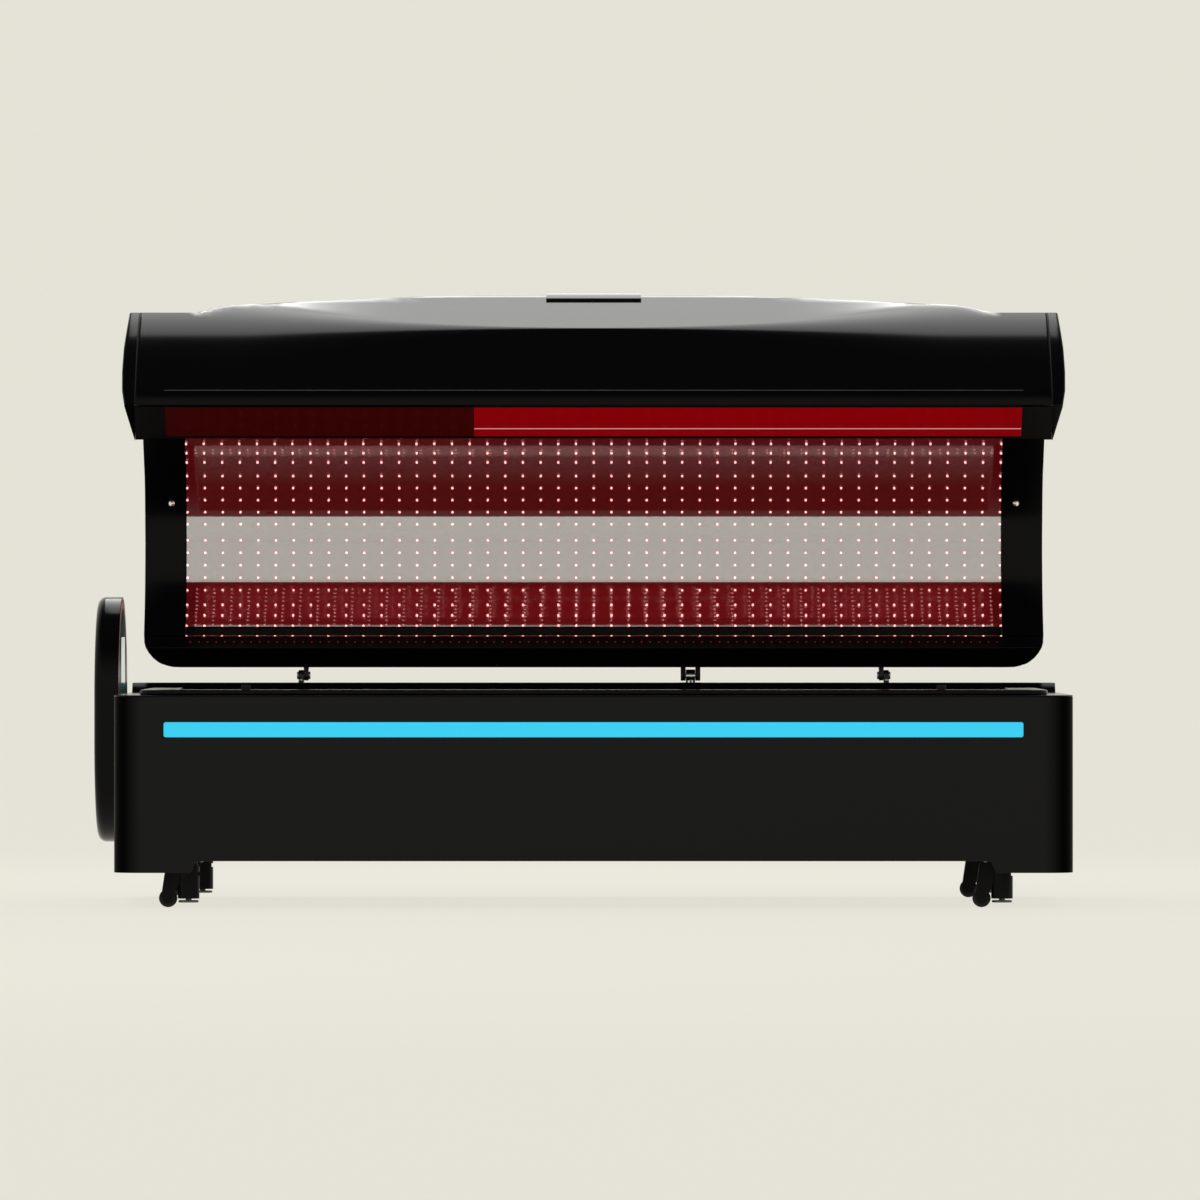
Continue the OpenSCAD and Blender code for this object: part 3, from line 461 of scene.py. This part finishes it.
def beadAt(name, x0, x1, y, z, mat, body, turn, r):
    b = bmesh.new()
    bmesh.ops.create_cone(b, cap_ends=True, segments=12, radius1=r, radius2=r, depth=x1 - x0,
                          matrix=turn @ Matrix.Translation(((x0 + x1) / 2, y, z)) @ Matrix.Rotation(math.radians(90), 4, "Y"))
    return newPiece(b, name, mat, body, 40)


beadAt("lipHighlightLine", -0.278, bead["half"], -0.3715, 0.5119, paintedEdgeHighlight, "canopy", opened, bead["radius"])
beadAt("hoodLine", -1.000, 1.000, -0.4484, 0.5600, frameGrey, "canopy", opened, 0.0009)

# stripe of small holes in the sill, under the sheet, glowing with painted red lamp light
sillDots = {"count": 94, "pitch": 0.0206, "y": 0.3385, "z": 0.5300, "r": 0.0016}
bm = bmesh.new()
for i in range(sillDots["count"]):
    x = (i - (sillDots["count"] - 1) / 2) * sillDots["pitch"]
    at = opened @ Matrix.Translation((x, 0.3338, 0.532)) @ Matrix.Rotation(math.radians(90), 4, "X")
    bmesh.ops.create_cone(bm, cap_ends=True, segments=8, radius1=0.0016, radius2=0.0016, depth=0.0006, matrix=at)
newPiece(bm, "sillDots", boardPaintedGlow, "canopy", 60)

# bolts on the hinge feet and on the caster plates
bolts = {"r": 0.0042, "tall": 0.0030}


def boltHeads(name, spots, mat, body):
    b = bmesh.new()
    for x, y, z, up in spots:
        bmesh.ops.create_cone(b, cap_ends=True, segments=6, radius1=bolts["r"], radius2=bolts["r"] * 0.92,
                              depth=bolts["tall"], matrix=Matrix.Translation((x, y, z + up * bolts["tall"] / 2)))
    o = newPiece(b, name, mat, body, 40)
    soften(o, 0.0004, 2, 40)
    return o


boltHeads("hingeBolts", [(s * 0.69625, 0.440 + e * 0.0225, 0.516, 1) for s in (-1, 1) for e in (-1, 1)],
          brushed, "base")
boltHeads("casterBolts", [(sx * 0.935 + e * 0.034, sy * 0.440 + f * 0.027, 0.107, -1)
                          for sx in (-1, 1) for sy in (-1, 1) for e in (-1, 1) for f in (-1, 1)],
          brushed, "base")

# hub caps on the caster wheels
wheel = {"x": 0.935, "y": 0.440, "trail": 0.043, "z": 0.021, "hub": 0.0125, "half": 0.009}
for k, sx, sy in (("fl", -1, -1), ("fr", 1, -1), ("rl", -1, 1), ("rr", 1, 1)):
    bm = bmesh.new()
    for s in (-1, 1):
        at = Matrix.Translation((sx * wheel["x"] - wheel["trail"], sy * wheel["y"] + s * (wheel["half"] + 0.0001), wheel["z"]))
        bmesh.ops.create_cone(bm, cap_ends=True, segments=32, radius1=wheel["hub"], radius2=wheel["hub"] * 0.9,
                              depth=0.0006, matrix=at @ Matrix.Rotation(math.radians(-90 * s), 4, "X"))
    newPiece(bm, "wheelHub_" + k, satinBlack, "wheel_" + k, 40)
print("small parts made")

# console screen: a plain lit field on the dark glass, nothing written on it
screen = {"y": -0.026, "z": 0.560, "w": 0.190, "h": 0.120, "r": 0.010}
bm = bmesh.new()
bmesh.ops.create_cube(bm, size=1.0, matrix=Matrix.Translation((-1.10015, screen["y"], screen["z"]))
                      @ Matrix.Diagonal((0.0006, screen["w"], screen["h"], 1)))
corners = [e for e in bm.edges if abs(e.verts[0].co.x - e.verts[1].co.x) > 0.0003]
bmesh.ops.bevel(bm, geom=corners, offset=screen["r"], segments=6, profile=0.5, affect="EDGES", material=-1)
newPiece(bm, "consoleScreen", finish("screenGlass", (0.002, 0.02, 0.025), 0.08, 0, 0.5, 0.5,
                                     (0.0, 0.10, 0.12), 0.6, 0.0), "base", 40)
print("console made")

# stage: one pale sheet that runs from the floor up the back
stage = {"front": -34.0, "bend": 32.0, "r": 2.0, "half": 30.0, "high": 14.0, "color": (0.799, 0.776, 0.694)}
pale = bpy.data.materials.new("paleStage")
pale.use_nodes = True
t = pale.node_tree
soft = t.nodes["Principled BSDF"]
soft.inputs["Base Color"].default_value = (*stage["color"], 1)
soft.inputs["Roughness"].default_value = 1.0
soft.inputs["Specular IOR Level"].default_value = 0.0
flat = t.nodes.new("ShaderNodeEmission")
flat.inputs["Color"].default_value = (*stage["color"], 1)
path = t.nodes.new("ShaderNodeLightPath")
seen = t.nodes.new("ShaderNodeMath")
seen.operation = "MULTIPLY"
seen.inputs[1].default_value = 0.88
shownTo = path.outputs["Is Camera Ray"]
for ray in ("Is Glossy Ray", "Is Transmission Ray"):
    more = t.nodes.new("ShaderNodeMath")
    more.operation = "MAXIMUM"
    t.links.new(shownTo, more.inputs[0])
    t.links.new(path.outputs[ray], more.inputs[1])
    shownTo = more.outputs[0]
t.links.new(shownTo, seen.inputs[0])
flat.inputs["Strength"].default_value = 1.05
mixed = t.nodes.new("ShaderNodeMixShader")
t.links.new(seen.outputs[0], mixed.inputs["Fac"])
t.links.new(soft.outputs[0], mixed.inputs[1])
t.links.new(flat.outputs[0], mixed.inputs[2])
t.links.new(mixed.outputs[0], t.nodes["Material Output"].inputs["Surface"])

bm = bmesh.new()
path0 = [bm.verts.new((-stage["half"], stage["front"], 0)), bm.verts.new((-stage["half"], stage["bend"], 0))]
edge = [bm.edges.new(path0)]
turned = bmesh.ops.spin(bm, geom=[path0[1]], cent=(0, stage["bend"], stage["r"]), axis=(1, 0, 0),
                        angle=math.radians(90), steps=24, use_merge=False)["geom_last"]
top = [v for v in turned if isinstance(v, bmesh.types.BMVert)][0]
high = bm.verts.new((top.co.x, top.co.y, stage["high"]))
bm.edges.new((top, high))
side = bmesh.ops.extrude_edge_only(bm, edges=bm.edges[:])["geom"]
bmesh.ops.translate(bm, vec=(2 * stage["half"], 0, 0), verts=[v for v in side if isinstance(v, bmesh.types.BMVert)])
bmesh.ops.recalc_face_normals(bm, faces=bm.faces)
me = bpy.data.meshes.new("paleSheet")
bm.to_mesh(me)
bm.free()
me.materials.append(pale)
me.shade_smooth()
floorSheet = bpy.data.objects.new("paleSheet", me)
bpy.context.scene.collection.objects.link(floorSheet)

scene = bpy.context.scene
scene.view_settings.view_transform = "Standard"
world = bpy.data.worlds.new("paleRoom")
scene.world = world
world.use_nodes = True
w = world.node_tree
sky = w.nodes["Background"]
sky.inputs["Color"].default_value = (0.95, 0.94, 0.92, 1)
sky.inputs["Strength"].default_value = 0.55
pane = w.nodes.new("ShaderNodeBackground")
pane.inputs["Color"].default_value = (*stage["color"], 1)
toward = w.nodes.new("ShaderNodeTexCoord")
height = w.nodes.new("ShaderNodeSeparateXYZ")
w.links.new(toward.outputs["Generated"], height.inputs[0])
fade = w.nodes.new("ShaderNodeMapRange")  # what shines on the black parts is pale low down and dark overhead
w.links.new(height.outputs["Z"], fade.inputs["Value"])
for k, v in (("From Min", 0.45), ("From Max", 0.85), ("To Min", 1.0), ("To Max", 0.06)):
    fade.inputs[k].default_value = v
w.links.new(fade.outputs[0], pane.inputs["Strength"])
rays = w.nodes.new("ShaderNodeLightPath")
shownTo = rays.outputs["Is Camera Ray"]
for ray in ("Is Glossy Ray", "Is Transmission Ray"):
    either = w.nodes.new("ShaderNodeMath")
    either.operation = "MAXIMUM"
    w.links.new(shownTo, either.inputs[0])
    w.links.new(rays.outputs[ray], either.inputs[1])
    shownTo = either.outputs[0]
blend = w.nodes.new("ShaderNodeMixShader")
w.links.new(either.outputs[0], blend.inputs["Fac"])
w.links.new(sky.outputs[0], blend.inputs[1])
w.links.new(pane.outputs[0], blend.inputs[2])
w.links.new(blend.outputs[0], w.nodes["World Output"].inputs["Surface"])

lights = {  # name: (place, aimed at, size, watts)
    "backTop": ((0.0, 2.6, 3.4), (0.0, 0.2, 1.2), 3.0, 85.0),
    "frontSoft": ((-2.5, -6.0, 4.5), (0.0, 0.0, 0.8), 3.0, 110.0),
}
for name, (at, to, size, watts) in lights.items():
    lamp = bpy.data.lights.new(name, "AREA")
    lamp.shape = "SQUARE"
    lamp.size = size
    lamp.energy = watts
    o = bpy.data.objects.new(name, lamp)
    o.location = at
    o.rotation_euler = (Vector(to) - Vector(at)).to_track_quat("-Z", "Y").to_euler()
    o.visible_glossy = name == "backTop"
    scene.collection.objects.link(o)

cam = bpy.data.cameras.new("photoCamera")
cam.sensor_width = 36.0
cam.lens = 323.7
cam.clip_end = 200.0
eye = bpy.data.objects.new("photoCamera", cam)
eye.location = (0.0149, -25.25, 0.665)
eye.rotation_euler = (Vector((0.0149, -0.55, 0.706)) - eye.location).to_track_quat("-Z", "Y").to_euler()
scene.collection.objects.link(eye)
scene.camera = eye
print("stage, lights and camera set")
